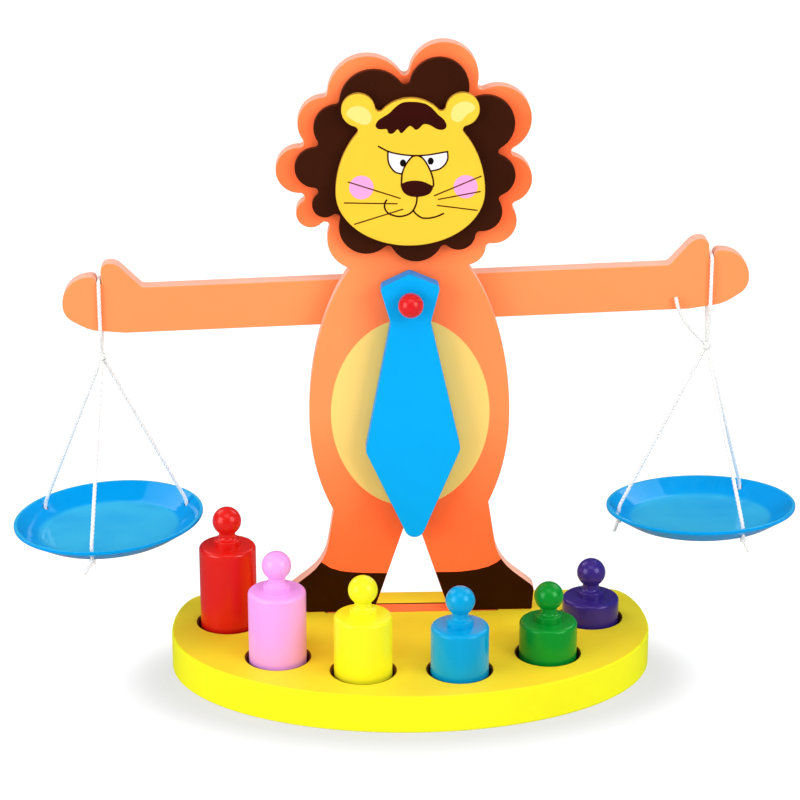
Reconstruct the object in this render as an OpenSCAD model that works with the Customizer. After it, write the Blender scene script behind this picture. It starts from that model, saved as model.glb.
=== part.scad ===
// Wooden balance scale toy. A lion cut from board stands in a D-shaped base. Its arms are the beam of
// the scale: they tilt on a peg through the chest, and the tie on the same peg is pointer and
// counterweight. A dish hangs on cords from each hand. Six turned weights stand in sockets in the base.
// The origin is under the base, at the middle of its footprint. +X is to the right, +Y to the back.

/* [Base] */
// Width of the base board
base_w = 234; // [210:1:270]
// Depth of the base in front of its widest line
base_front = 80; // [70:1:105]
// Depth of the base behind its widest line
base_rear = 41; // [34:1:55]
// Width of each rounded rear corner
base_corner = 15; // [6:1:30]
// Thickness of the base, with the plate under it
base_t = 18.5; // [15:0.5:26]
// Thickness of that plate, which closes the sockets and the slot from below
plate_t = 3; // [2:0.5:5]
// Distance from the rim of the base to the line of sockets
socket_inset = 27.8; // [23:0.1:32]
// Ends of the line of sockets behind the base's widest line
socket_back = 8; // [0:0.5:12]

/* [Lion board] */
// Thickness of the board that lion, arms and tie are cut from
board_t = 9; // [6:0.5:12]
// Base left behind the lion's back
lion_margin = 15; // [8:0.5:22]
// Width of the tongue in the slot
tongue_w = 84; // [60:1:100]
// Middle of the legs to the right of the lion's middle
leg_shift = 1.1; // [0:0.1:3]
// Width across the soles
sole_w = 120; // [112:0.2:132]
// Width across the toes, before rounding
toe_w = 122; // [114:0.2:134]
// Height of the toes, before rounding
toe_h = 12.2; // [9:0.1:16]
// Rounding of the toes
toe_r = 4.5; // [2:0.1:6]
// Width across the ankles
ankle_w = 85.2; // [80:0.2:94]
// Height of the ankles
ankle_h = 27; // [23:0.2:33]
// Rounding of the ankles
ankle_r = 26; // [10:0.5:28]
// Width across the tops of the legs, inside the torso
hip_w = 71; // [66:0.5:76]
// Height of the legs, up into the torso
hip_h = 72; // [66:0.5:76]
// Width of the gap between the soles
crotch_w = 37.4; // [30:0.2:44]
// Height of the gap between the legs, before rounding
crotch_h = 56.4; // [46:0.2:62]
// Rounding at the top of that gap
crotch_r = 4.2; // [2:0.1:6]
// Greatest width of the torso
torso_w = 97; // [86:0.5:110]
// Height of the torso above its widest line
torso_up = 92; // [82:0.5:104]
// Depth of the torso below its widest line
torso_low = 76; // [66:0.5:86]
// How far the torso reaches down between the hips
torso_sink = 44.5; // [36:0.5:52]

/* [Head] */
// Radius that the mane's lobes are set out on
mane_r = 50; // [44:0.5:58]
// Centre of the head above the top of the torso
head_rise = 45; // [38:0.5:52]
// Thickness of the mane board
mane_t = 4; // [2.5:0.5:6]
// Thickness of the face board
face_t = 4; // [2.5:0.5:6]
// Width of the face over the cheeks
face_w = 70; // [62:0.5:78]
// Height of the face above the cheeks
face_up = 40.5; // [36:0.5:44]
// Depth of the face below the cheeks
face_low = 26; // [22:0.5:29]
// Cheek line below the centre of the head
cheek_drop = 23; // [19:0.5:27]
// Radius of the forehead
brow_r = 18; // [14:0.5:22]
// Centre of the forehead above the cheek line
brow_rise = 27; // [23:0.5:30]
// Radius of the ears
ear_r = 7.9; // [6:0.1:10]
// Distance between the ears' centres
ear_spread = 48.4; // [42:0.2:54]
// Ears above the cheek line
ear_rise = 39.4; // [35:0.2:43]
// Rounding of the inside corners round the ears
ear_fillet = 2; // [1:0.1:3]

/* [Arms] */
// Height of the arms
arm_h = 22.5; // [19:0.5:27]
// Pivot above the middle of the arms
pivot_rise = 4.5; // [2:0.5:6]
// Middle of the arms to the left of the peg
arm_shift = 1; // [0:0.1:2]
// Pivot below the top of the torso
pivot_drop = 31.3; // [27:0.1:36]
// Clear gap between a hanging pan and the nearest weight
pan_gap = 2.1; // [2:0.1:9]
// Width of the notch that holds the cord
notch_w = 2.4; // [2.2:0.1:3.2]
// Floor of the notch above the arm
notch_rise = 2.5; // [1:0.1:4]
// Fingertip past the notch
finger_len = 18.1; // [15:0.1:20]
// Top of the fingers above the arm
finger_rise = 6.3; // [5.2:0.1:8]
// Underside of the fingertip above the arm's underside
finger_tuck = 9.4; // [8:0.1:10]
// Rounding of the fingertip above
finger_r = 13.4; // [9:0.1:13.6]
// Rounding of the fingertip below
finger_low_r = 9; // [6:0.1:10]
// Heel of the hand past the notch
heel_len = 5.8; // [4:0.1:7]
// Heel of the hand above the arm's underside
heel_rise = 1.9; // [1:0.1:3]
// Rounding of the heel of the hand
heel_r = 20; // [8:0.5:22]
// Start of the hand before the notch, on the underside
palm_len = 11; // [8:0.1:14]
// Rounding of the fingers beside the notch
knuckle_r = 2.5; // [1:0.1:3]
// Start of the thumb before the notch
thumb_len = 20.6; // [18:0.1:25]
// Back of the thumb before the notch, before rounding
thumb_back = 8.6; // [8.4:0.1:12]
// Top of the thumb above the arm
thumb_rise = 12.6; // [10:0.1:15]
// Rounding of the back of the thumb
thumb_back_r = 7.6; // [4:0.1:9]
// Rounding of the tip of the thumb
thumb_r = 4; // [2:0.1:4.5]
// Rounding where the thumb leaves the arm
wrist_r = 3; // [1:0.1:5]

/* [Pivot] */
// Diameter of the peg
peg_d = 6; // [5:0.1:7]
// Diameter of the peg's ball head
knob_d = 12; // [10:0.1:16]
// Centre of the ball in front of the tie
knob_reach = 4.5; // [3.5:0.1:4.8]
// Outer diameter of the spacing washers
washer_d = 14; // [10:0.5:18]
// Thickness of the spacing washers
washer_t = 1; // [0.6:0.1:2]

/* [Tie] */
// Top of the tie above the pivot
tie_top = 14; // [12:0.2:16]
// Width of the knot of the tie
tie_head_w = 28.8; // [25:0.2:33]
// Shoulders of the tie above the pivot
tie_shoulder = 7.5; // [6:0.1:9]
// Width of the tie under its knot
tie_waist_w = 19; // [16:0.2:22]
// That waist below the pivot
tie_waist_drop = 10.6; // [9:0.1:13]
// Greatest width of the tie
tie_w = 46; // [40:0.5:52]
// The widest place below the pivot
tie_wide_drop = 75; // [66:0.5:84]
// Tip of the tie below the pivot, before rounding
tie_tip_drop = 128; // [116:0.5:134]
// Rounding of the tip and of the wide corners
tie_r = 5; // [2:0.5:6]
// Rounding of the corners of the tie's knot
tie_head_r = 2.5; // [1:0.1:3]

/* [Hangers] */
// Diameter of the cord
cord_d = 1.8; // [1.4:0.1:2]
// Diameter of the knots
knot_d = 5; // [4:0.1:6]
// Diameter of the end knots under the pans
stop_d = 3.8; // [3.6:0.1:5]
// Left knot below its notch
left_loop_drop = 39; // [34:0.5:50]
// Right knot below its notch
right_loop_drop = 46.5; // [38:0.5:56]
// Rim of a pan below its knot
string_drop = 83; // [70:0.5:95]
// Cord left over under each end knot
stop_tail = 4; // [3:0.5:9]
// Bend of the cord left over at the right knot, in from the knot
tail_bend_in = 15.6; // [12:0.1:18]
// That bend above the knot
tail_bend_up = 15; // [10:0.5:20]
// End of that cord, in from the knot
tail_end_in = 16.9; // [12:0.1:20]
// That end above the knot
tail_end_up = 26.5; // [20:0.5:32]

/* [Pans] */
// Diameter of a pan
pan_d = 93.5; // [84:0.5:100]
// Depth of a pan outside
pan_depth = 9; // [7:0.1:12]
// Wall thickness of a pan
pan_wall = 1.5; // [1.2:0.1:2]
// Diameter of the floor of a pan
pan_floor_d = 68; // [58:0.5:74]
// Rounding between floor and wall, inside
pan_cove_r = 9; // [5:0.5:12]
// Cord holes in from the rim
pan_hole_inset = 5.8; // [5:0.1:8]
// Diameter of the cord holes
pan_hole_d = 3; // [2.6:0.1:3.6]

/* [Weights] */
// Diameter of the weights
weight_d = 27.7; // [24:0.1:29]
// Height that the lowest weight shows above the base
weight_low = 11.3; // [8:0.1:14]
// Step from each weight to the next
weight_step = 5.9; // [4:0.1:8]
// Rounding of a weight's top edge
weight_edge_r = 2; // [1:0.1:3]
// Diameter of the collar on a weight
collar_d = 12.8; // [11:0.1:15]
// Height of the collar
collar_h = 3.3; // [2:0.1:4]
// Rounding of the collar
collar_r = 0.5; // [0.3:0.1:1]
// Diameter of the neck under the ball
neck_d = 8; // [6:0.1:8.4]
// Rounding where the neck flares into the collar
neck_flare = 1.6; // [0.5:0.1:1.7]
// Diameter of the ball
ball_d = 14; // [12:0.1:16]
// Centre of the ball above the weight's body
ball_rise = 12.5; // [11:0.1:14]

/* [Resting pose] */
// Tilt of the arms, left hand down, in degrees
arm_lean = 1.9; // [0:0.1:4]
// Tilt of the tie, tip to the right, in degrees
tie_lean = 1.1; // [0:0.1:4]
// Sideways tilt of the left pan, in degrees
left_pan_lean = -3.4; // [-4:0.1:0]
// Sideways tilt of the right pan, in degrees
right_pan_lean = -1.2; // [-4:0.1:0]
// Fore-and-aft tilt of the right pan, in degrees
right_pan_nod = -4.4; // [-5:0.1:0]

/* [Fits] */
// Gap round a glued joint
glue_gap = 0.05; // [0.02:0.01:0.1]
// Radial gap of the peg in the lion
bore_gap = 0.05; // [0.02:0.01:0.09]
// Gap between the washers and the lion
run_gap = 0.15; // [0.1:0.01:0.3]
// Gap round a weight in its socket
socket_gap = 1.25; // [0.8:0.05:1.5]
// Gap between the cord and what it moves past
cord_gap = 0.3; // [0.2:0.01:0.4]

/* [Hidden] */
$fn = 72;
overrun = 1;

LEFT = -1;
RIGHT = 1;
orange = [1.0, 0.45, 0.2];
weight_colors = ["red", "pink", "yellow", "deepskyblue", "green", "rebeccapurple"];

// Angles of the weight sockets round the base, from the front, left to right
socket_angles = [-90.5, -46.7, -15.9, 13.8, 46.4, 89.5];
// Angles of the cord holes round each pan
left_hole_angles = [145, 22, 262];
right_hole_angles = [180, 292, 53];

// Lobes of the mane, anticlockwise from the right: place and radius, as shares of mane_r
mane_lobe_shares = [
    [0.79, -0.33, 0.20], [0.71, 0.17, 0.27], [0.27, 0.52, 0.28], [-0.34, 0.37, 0.32],
    [-0.68, 0.14, 0.22], [-0.89, -0.24, 0.19], [-0.80, -0.60, 0.12], [-0.41, -0.82, 0.26],
    [0.06, -0.90, 0.26], [0.46, -0.89, 0.16], [0.68, -0.68, 0.19]];
// Rounding between two lobes, as a share of mane_r
lobe_fillet_share = 0.044;
// Outline of the head board against that of the mane
head_share = 1.165;

// Steps of a drawn curve: degrees for each point of an arc, and of the large outlines
arc_step = 9;
outline_step = 3;
cord_sides = 8;

// Base
base_depth = base_front + base_rear;
widest_y = (base_front - base_rear) / 2;
back_y = base_depth / 2;
hole_depth = base_t - plate_t;
socket_rx = base_w / 2 - socket_inset;
socket_y = widest_y + socket_back;
socket_ry = base_front + socket_back - socket_inset;

// Boards, front to back
lion_y = back_y - lion_margin - board_t;
mane_y = lion_y - mane_t;
face_y = mane_y - face_t;
washer_gap = washer_t + run_gap;
tie_y = lion_y - washer_gap - board_t;
arms_y = lion_y + board_t + washer_gap;
arms_mid_y = arms_y + board_t / 2;

// Heights
torso_z = base_t + hip_h + torso_low - torso_sink;
torso_top_z = torso_z + torso_up;
head_z = torso_top_z + head_rise;
cheek_z = head_z - cheek_drop;
pivot_z = torso_top_z - pivot_drop;

// Arms, in their own frame about the pivot
arm_top = arm_h / 2 - pivot_rise;
arm_low = arm_top - arm_h;
outer_socket = socket_place(len(socket_angles) - 1);
pan_reach = pan_d / 2 + weight_d / 2 + pan_gap;
notch_x = outer_socket[0] + sqrt(pow(pan_reach, 2) - pow(arms_mid_y - outer_socket[1], 2));
notch_z = arm_top + notch_rise;
cord_r = cord_d / 2;
hook_h = notch_z + cord_gap + cord_r;

// Pans
pan_r = pan_d / 2;
pan_floor_r = pan_floor_d / 2;
pan_hole_r = pan_r - pan_hole_inset;
wall_slope = (pan_depth - pan_wall) / (pan_r - pan_wall - pan_floor_r);
hole_z = -(pan_r - pan_wall - pan_hole_r) * wall_slope;
hole_mid_z = hole_z - pan_wall / 2;
stop_z = hole_z - (pan_wall + cord_gap + stop_d / 2) * sqrt(1 + pow(wall_slope, 2));

// Left-over cord on the right knot: it bends up in front of the arm
tail_bend = [-tail_bend_in, arms_y - cord_gap - cord_d - arms_mid_y, tail_bend_up];
tail_end = [-tail_end_in, tail_bend[1], tail_end_up];
tail_steps = 8;

function unit(v) = v / norm(v);
function wrap(a) = a - 360 * floor(a / 360);
function angle_of(v) = atan2(v[1], v[0]);
function flat(v) = [v[0], v[1]];
function steps(sweep) = max(2, ceil(abs(sweep) / arc_step));

// Points of an arc about c, from one angle through a sweep
function arc(c, r, from, sweep) = [for (i = [0:steps(sweep)]) let (a = from + sweep * i / steps(sweep))
    c + r * [cos(a), sin(a)]];

// The arc that rounds corner q between p and s to radius r
function corner(p, q, s, r) = r == 0 ? [q] :
    let (u = unit(p - q), v = unit(s - q), half = acos(u * v) / 2, c = q + unit(u + v) * r / sin(half))
    let (t = r / tan(half), from = angle_of(q + u * t - c))
    arc(c, r, from, wrap(angle_of(q + v * t - c) - from + 180) - 180);

// A closed outline from corners given as [x, y, radius]
function rounded(v) = [for (i = [0:len(v) - 1]) let (n = len(v))
    each corner(flat(v[(i + n - 1) % n]), flat(v[i]), flat(v[(i + 1) % n]), v[i][2])];

// Right half of an outline, top to bottom, and its mirror image
function both_sides(v) = concat(v, [for (i = [len(v) - 1:-1:0]) [-v[i][0], v[i][1], v[i][2]]]);

// An egg: half a width, and its heights above and below the widest line
function egg(half_w, up, low) = [for (a = [0:outline_step:360 - outline_step])
    [half_w * cos(a), (a < 180 ? up : low) * sin(a)]];

// Centre of the hollow between lobes a and b, which lie anticlockwise
function hollow(a, b, r) =
    let (d = flat(b) - flat(a), u = unit(d), ra = a[2] + r, rb = b[2] + r)
    let (along = (ra * ra - rb * rb + d * d) / (2 * norm(d)), out = sqrt(ra * ra - along * along))
    flat(a) + u * along + [u[1], -u[0]] * out;

// Outline of a ring of round lobes [x, y, radius], with rounded hollows between them
function lobed(lobes, r) = [for (i = [0:len(lobes) - 1])
    let (n = len(lobes), a = lobes[i], b = lobes[(i + 1) % n], c = flat(a))
    let (h0 = hollow(lobes[(i + n - 1) % n], a, r), h1 = hollow(a, b, r))
    let (from = angle_of(h0 - c), turn = angle_of(c - h1))
    each concat(arc(c, a[2], from, wrap(angle_of(h1 - c) - from)),
        arc(h1, r, turn, -wrap(turn - angle_of(flat(b) - h1))))];

function mane_outline(scale) = lobed([for (l = mane_lobe_shares) l * mane_r * scale],
    lobe_fillet_share * mane_r);

function socket_place(i) = [socket_rx * sin(socket_angles[i]), socket_y - socket_ry * cos(socket_angles[i])];

// Turns of a point, about X and about Y
function turn_x(p, a) = [p[0], p[1] * cos(a) - p[2] * sin(a), p[1] * sin(a) + p[2] * cos(a)];
function turn_y(p, a) = [p[0] * cos(a) + p[2] * sin(a), p[1], -p[0] * sin(a) + p[2] * cos(a)];

// Places on each side: the cord in its notch, the knot, the rim of the pan and a point of the pan
function hook(side) = [0, arms_mid_y, pivot_z] + turn_y([side * notch_x - arm_shift, 0, hook_h], -arm_lean);
function loop_drop(side) = side == LEFT ? left_loop_drop : right_loop_drop;
function knot_place(side) = hook(side) - [0, 0, loop_drop(side)];
function pan_place(side) = knot_place(side) - [0, 0, string_drop];
function pan_lean(side) = side == LEFT ? left_pan_lean : right_pan_lean;
function pan_nod(side) = side == LEFT ? 0 : right_pan_nod;
function pan_turn(p, side) = turn_y(turn_x(p, pan_nod(side)), pan_lean(side));
function hole_angle(side, i) = side == LEFT ? left_hole_angles[i] : right_hole_angles[i];
function in_hole(side, i, z) = let (a = hole_angle(side, i))
    pan_place(side) + pan_turn([pan_hole_r * cos(a), pan_hole_r * sin(a), z], side);

// Direction of a path at point i, and the ring of points round it
function heading(p, i) = let (last = len(p) - 1)
    i == 0 ? unit(p[1] - p[0]) : i == last ? unit(p[last] - p[last - 1]) :
    unit(unit(p[i] - p[i - 1]) + unit(p[i + 1] - p[i]));
function ring(p, t, across, r) = [for (k = [0:cord_sides - 1]) let (a = 360 * k / cord_sides)
    p + r * (cos(a) * across + sin(a) * cross(t, across))];
function side_faces(n) = [for (i = [0:n - 2], k = [0:cord_sides - 1])
    let (a = i * cord_sides + k, b = i * cord_sides + (k + 1) % cord_sides)
    each [[a, a + cord_sides, b], [b, a + cord_sides, b + cord_sides]]];
function end_faces(first) = [for (k = [1:cord_sides - 2]) [first, first + k, first + k + 1]];
function reversed(faces) = [for (f = faces) [f[2], f[1], f[0]]];

// A cord along a path in one plane; across is square to that plane, and each point has its radius
module cord(path, radii, across) {
    n = len(path);
    points = [for (i = [0:n - 1]) each ring(path[i], heading(path, i), across, radii[i])];
    faces = concat(side_faces(n), end_faces(0), reversed(end_faces((n - 1) * cord_sides)));
    color("white") polyhedron(points, faces);
}

// An upright board with its front face at y
module board(y, t) {
    translate([0, y + t, 0]) rotate([90, 0, 0]) linear_extrude(t) children();
}

// A round hole or pin along Y
module along_y(d, from, to) {
    translate([0, from, 0]) rotate([-90, 0, 0]) cylinder(d = d, h = to - from);
}

module at_pivot(lean) {
    translate([0, 0, pivot_z]) rotate([0, -lean, 0]) children();
}

module base_outline() {
    front = [for (a = [180:outline_step:360]) [base_w / 2 * cos(a), widest_y + base_front * sin(a)]];
    rear = [for (a = [outline_step:outline_step:90]) [base_corner * cos(a), widest_y + base_rear * sin(a)]];
    inner = base_w / 2 - base_corner;
    right = [for (p = rear) [inner + p[0], p[1]]];
    left = [for (i = [len(rear) - 1:-1:0]) [-inner - rear[i][0], rear[i][1]]];
    polygon(concat(front, right, left));
}

// Board with the sockets and the lion's slot cut right through
module base() {
    slot_w = tongue_w + 2 * glue_gap;
    slot_t = board_t + 2 * glue_gap;
    color("yellow") translate([0, 0, plate_t]) linear_extrude(hole_depth) difference() {
        base_outline();
        for (i = [0:len(socket_angles) - 1])
            translate(socket_place(i)) circle(d = weight_d + 2 * socket_gap);
        translate([leg_shift - slot_w / 2, lion_y - glue_gap]) square([slot_w, slot_t]);
    }
}

// Plate glued under the board
module base_plate() {
    color("gold") linear_extrude(plate_t) base_outline();
}

// Both legs as one outline, with the tongue that stands in the base
module legs() {
    half = [
        [hip_w / 2, hip_h, 0],
        [ankle_w / 2, ankle_h, ankle_r],
        [toe_w / 2, toe_h, toe_r],
        [sole_w / 2, 0, 0],
        [tongue_w / 2, 0, 0],
        [tongue_w / 2, glue_gap - hole_depth, 0]];
    polygon(rounded(both_sides(half)));
}

module leg_gap() {
    polygon(rounded([[-crotch_w / 2, 0, 0], [crotch_w / 2, 0, 0], [0, crotch_h, crotch_r]]));
}

module lion_body() {
    cut_y = lion_y - overrun;
    cut_t = board_t + 2 * overrun;
    color(orange) difference() {
        union() {
            board(lion_y, board_t) translate([0, torso_z]) polygon(egg(torso_w / 2, torso_up, torso_low));
            board(lion_y, board_t) translate([0, head_z]) polygon(mane_outline(head_share));
            board(lion_y, board_t) translate([leg_shift, base_t]) legs();
        }
        board(cut_y, cut_t) translate([leg_shift, base_t]) leg_gap();
        translate([0, 0, pivot_z]) along_y(peg_d + 2 * bore_gap, cut_y, cut_y + cut_t);
    }
}

module mane() {
    color("saddlebrown") board(mane_y, mane_t) translate([0, head_z]) polygon(mane_outline(1));
}

module face() {
    color("gold") board(face_y, face_t) translate([0, cheek_z])
        offset(r = -ear_fillet) offset(delta = ear_fillet) {
            polygon(egg(face_w / 2, face_up, face_low));
            translate([0, brow_rise]) circle(brow_r);
            for (side = [LEFT, RIGHT]) translate([side * ear_spread / 2, ear_rise]) circle(ear_r);
        }
}

module arms() {
    tip_x = notch_x + finger_len;
    thumb_x = notch_x - notch_w / 2;
    thumb_z = arm_top + thumb_rise;
    finger_x = notch_x + notch_w / 2;
    finger_z = arm_top + finger_rise;
    half = [
        [notch_x - thumb_len, arm_top, wrist_r],
        [notch_x - thumb_back, thumb_z, thumb_back_r],
        [thumb_x, thumb_z, thumb_r],
        [thumb_x, notch_z, 0],
        [finger_x, notch_z, 0],
        [finger_x, finger_z, knuckle_r],
        [tip_x, finger_z, finger_r],
        [tip_x, arm_low + finger_tuck, finger_low_r],
        [notch_x + heel_len, arm_low + heel_rise, heel_r],
        [notch_x - palm_len, arm_low, 0]];
    color(orange) at_pivot(arm_lean) difference() {
        board(arms_y, board_t) translate([-arm_shift, 0]) polygon(rounded(both_sides(half)));
        along_y(peg_d + 2 * glue_gap, arms_y - overrun, arms_y + board_t + overrun);
    }
}

module tie() {
    half = [
        [tie_head_w / 2, tie_shoulder, tie_head_r],
        [tie_waist_w / 2, -tie_waist_drop, tie_head_r],
        [tie_w / 2, -tie_wide_drop, tie_r]];
    outline = concat([[0, tie_top, tie_head_r]], half, [[0, -tie_tip_drop, tie_r]],
        [for (i = [len(half) - 1:-1:0]) [-half[i][0], half[i][1], half[i][2]]]);
    color("deepskyblue") at_pivot(tie_lean) difference() {
        board(tie_y, board_t) polygon(rounded(outline));
        along_y(peg_d + 2 * glue_gap, tie_y - overrun, tie_y + board_t + overrun);
    }
}

module pivot_peg() {
    color("red") translate([0, 0, pivot_z]) {
        difference() {
            translate([0, tie_y - knob_reach, 0]) sphere(d = knob_d);
            along_y(knob_d + overrun, tie_y, tie_y + knob_d);
        }
        along_y(peg_d, tie_y - knob_reach, arms_y + board_t);
    }
}

module washer(y) {
    color("white") translate([0, 0, pivot_z]) difference() {
        along_y(washer_d, y, y + washer_t);
        along_y(peg_d + 2 * glue_gap, y - overrun, y + washer_t + overrun);
    }
}

// The cord that runs over a hand, through its notch and down both faces to the knot
module loop(side) {
    top = hook(side);
    bend_r = cord_r + cord_gap;
    face_gap = board_t / 2 + bend_r;
    low = hook_h - arm_low;
    knot_gap = knot_d / 2 + cord_gap;
    end_z = -loop_drop(side) + knot_gap;
    front = concat([[-cord_r, end_z], [-face_gap, -low]], arc([bend_r - face_gap, -bend_r], bend_r, 180, -90));
    yz = concat(front, [for (i = [len(front) - 1:-1:0]) [-front[i][0], front[i][1]]]);
    path = [for (p = yz) top + [0, p[0], p[1]]];
    cord(path, [for (p = path) cord_r], [1, 0, 0]);
}

module knot(side) {
    color("white") translate(knot_place(side)) sphere(d = knot_d);
}

module tail_right() {
    start = unit(tail_bend) * knot_d / 2;
    path = [for (i = [0:tail_steps]) let (t = i / tail_steps)
        knot_place(RIGHT) + pow(1 - t, 2) * start + 2 * t * (1 - t) * tail_bend + t * t * tail_end];
    cord(path, [for (p = path) cord_r], unit(cross(tail_bend, tail_end)));
}

// One of the three cords from a knot to its pan, with the knot that stops it under the pan
module string(side, i) {
    top = knot_place(side);
    above = in_hole(side, i, hole_z + cord_d);
    start = top + unit(above - top) * (knot_d / 2 + cord_gap);
    stop_r = stop_d / 2;
    stop = [for (a = [-60:30:60]) [stop_z + stop_r * sin(-a), stop_r * cos(a)]];
    path = concat([start, above, in_hole(side, i, hole_mid_z)], [for (s = stop) in_hole(side, i, s[0])],
        [in_hole(side, i, stop_z - stop_r), in_hole(side, i, stop_z - stop_r - stop_tail)]);
    radii = concat([cord_r, cord_r, cord_r], [for (s = stop) s[1]], [cord_r, cord_r]);
    across = unit(cross(above - top, in_hole(side, i, 0) - in_hole(side, i, hole_z)));
    cord(path, radii, across);
}

module pan(side) {
    floor_z = pan_wall - pan_depth;
    lip_r = pan_wall / 3;
    section = [
        [0, floor_z, 0],
        [pan_floor_r, floor_z, pan_cove_r],
        [pan_r - pan_wall, 0, lip_r],
        [pan_r, 0, lip_r],
        [pan_r, -pan_wall, lip_r],
        [pan_floor_r + pan_wall / 2, -pan_depth, pan_cove_r + pan_wall],
        [0, -pan_depth, 0]];
    color("dodgerblue") translate(pan_place(side)) rotate([pan_nod(side), pan_lean(side), 0]) difference() {
        rotate_extrude() polygon(rounded(section));
        for (i = [0:len(left_hole_angles) - 1]) rotate(hole_angle(side, i))
            translate([pan_hole_r, 0, -pan_depth]) cylinder(d = pan_hole_d, h = pan_depth + overrun);
    }
}

module weight(i) {
    body_h = hole_depth + weight_low + weight_step * (len(socket_angles) - 1 - i);
    section = [
        [0, 0, 0],
        [weight_d / 2, 0, collar_r],
        [weight_d / 2, body_h, weight_edge_r],
        [collar_d / 2, body_h, 0],
        [collar_d / 2, body_h + collar_h, collar_r],
        [neck_d / 2, body_h + collar_h, neck_flare],
        [neck_d / 2, body_h + ball_rise, 0],
        [0, body_h + ball_rise, 0]];
    color(weight_colors[i]) translate([each socket_place(i), plate_t]) {
        rotate_extrude() polygon(rounded(section));
        translate([0, 0, body_h + ball_rise]) sphere(d = ball_d);
    }
}

base();
base_plate();
lion_body();
mane();
face();
arms();
tie();
pivot_peg();
washer(lion_y - washer_gap);  // front_washer
washer(arms_y - washer_t);  // rear_washer
loop(LEFT);  // loop_left
loop(RIGHT);  // loop_right
knot(LEFT);  // knot_left
knot(RIGHT);  // knot_right
tail_right();
string(LEFT, 0);  // string_left_1
string(LEFT, 1);  // string_left_2
string(LEFT, 2);  // string_left_3
string(RIGHT, 0);  // string_right_1
string(RIGHT, 1);  // string_right_2
string(RIGHT, 2);  // string_right_3
pan(LEFT);  // pan_left
pan(RIGHT);  // pan_right
weight(0);  // weight_red
weight(1);  // weight_pink
weight(2);  // weight_yellow
weight(3);  // weight_blue
weight(4);  // weight_green
weight(5);  // weight_purple
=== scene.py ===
"""Looks of the wooden balance scale toy.

A painted lion whose arms are the beam, two pans hung on cords, and six turned weights.
"""
import math
import bmesh
import bpy
from mathutils import Matrix, Vector


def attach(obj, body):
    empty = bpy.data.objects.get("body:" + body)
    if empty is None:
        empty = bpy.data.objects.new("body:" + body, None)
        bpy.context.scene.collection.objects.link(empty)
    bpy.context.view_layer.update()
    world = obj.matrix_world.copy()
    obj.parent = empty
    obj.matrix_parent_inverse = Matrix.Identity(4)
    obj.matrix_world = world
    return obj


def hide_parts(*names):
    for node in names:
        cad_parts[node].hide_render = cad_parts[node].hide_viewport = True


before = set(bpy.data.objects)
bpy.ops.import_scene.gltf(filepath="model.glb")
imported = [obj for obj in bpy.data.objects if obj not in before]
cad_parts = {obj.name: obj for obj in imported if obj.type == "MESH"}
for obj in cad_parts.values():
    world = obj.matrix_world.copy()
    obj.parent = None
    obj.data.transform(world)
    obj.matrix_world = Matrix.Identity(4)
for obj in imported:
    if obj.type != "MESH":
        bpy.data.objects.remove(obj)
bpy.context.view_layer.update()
MM = 0.001

# Boards as the part has them, in millimetres
LION_FRONT = 36.5
FACE_FRONT = 28.5
CHEEK_Z = 236.0
BASE_TOP = 18.5
BASE_HALF = (117.0, 60.5)
BOW_HALF = (117.0, 80.0)
BOW_MID_Y = 19.5
RIM_X, RIM_FRONT_Y, RIM_BACK_Y = 95.0, -45.0, 55.0
RIM_SHARE = 0.9

# Cords as the part lays them, in millimetres and degrees
SIDES = ("left", "right")
CORD_D = 1.8
KNOT_D = 5.0
STOP_D = 3.8
ARM_MID_Y = 51.15
HOOK = {"left": (-148.314, ARM_MID_Y, 188.236), "right": (145.622, ARM_MID_Y, 197.987)}
LOOP_DROP = {"left": 39.0, "right": 46.5}
LOOP_BEND = 2.2
LOOP_HALF = 5.7
LOOP_LOW = 26.2
LOOP_SLACK = 0.6
LOOP_FOOT = 0.9
LOOP_SUNK = 0.1
LOOP_EASE, LOOP_STEP = 1.6, 1.5
CORD_SUNK = 0.3
STRING_DROP = 83.0
STRING_EASE, STRING_STEP = 3.5, 2.0
PAN_NOD = {"left": 0.0, "right": -4.4}
PAN_LEAN = {"left": -3.4, "right": -1.2}
HOLE_ANGLES = {"left": (145, 22, 262), "right": (180, 292, 53)}
HOLE_R = 40.95
HOLE_Z = -2.867
STOP_Z = -7.314
STOP_TAIL = 4.0
TAIL_CURL = {"left": ((-1.0, 1.0), (1.0, 1.0), (-4.5, -0.5)),
             "right": ((-2.5, -1.0), (3.0, -0.5), (1.0, 1.0))}
LEFT_OVER_BEND = (-15.6, -6.6, 15)
LEFT_OVER_END = (-16.9, -6.6, 26.5)

WEIGHTS = ("red", "pink", "yellow", "blue", "green", "purple")
WHITE = (1.0, 1.0, 1.0, 1.0)


def linear(code):
    """A written colour as the shader takes it."""
    def channel(v):
        return v / 12.92 if v <= 0.04045 else ((v + 0.055) / 1.055) ** 2.4
    return tuple(channel(int(code[i:i + 2], 16) / 255) for i in (0, 2, 4)) + (1.0,)


def mm(p):
    return Vector(p) * MM


def show(name, mesh, *materials):
    piece = bpy.data.objects.new(name, mesh)
    bpy.context.collection.objects.link(piece)
    for m in materials:
        mesh.materials.append(m)
    return piece


def settled(piece):
    """The piece with its modifiers worked in, as a plain mesh."""
    deps = bpy.context.evaluated_depsgraph_get()
    mesh = bpy.data.meshes.new_from_object(piece.evaluated_get(deps),
                                           preserve_all_data_layers=True, depsgraph=deps)
    mesh.name = piece.name
    if piece.type == "MESH":
        piece.modifiers.clear()
        piece.data = mesh
        return piece
    name = piece.name
    bpy.data.objects.remove(piece)
    return show(name, mesh)


def all_smooth(mesh):
    mesh.polygons.foreach_set("use_smooth", [True] * len(mesh.polygons))


# Node trees

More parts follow.
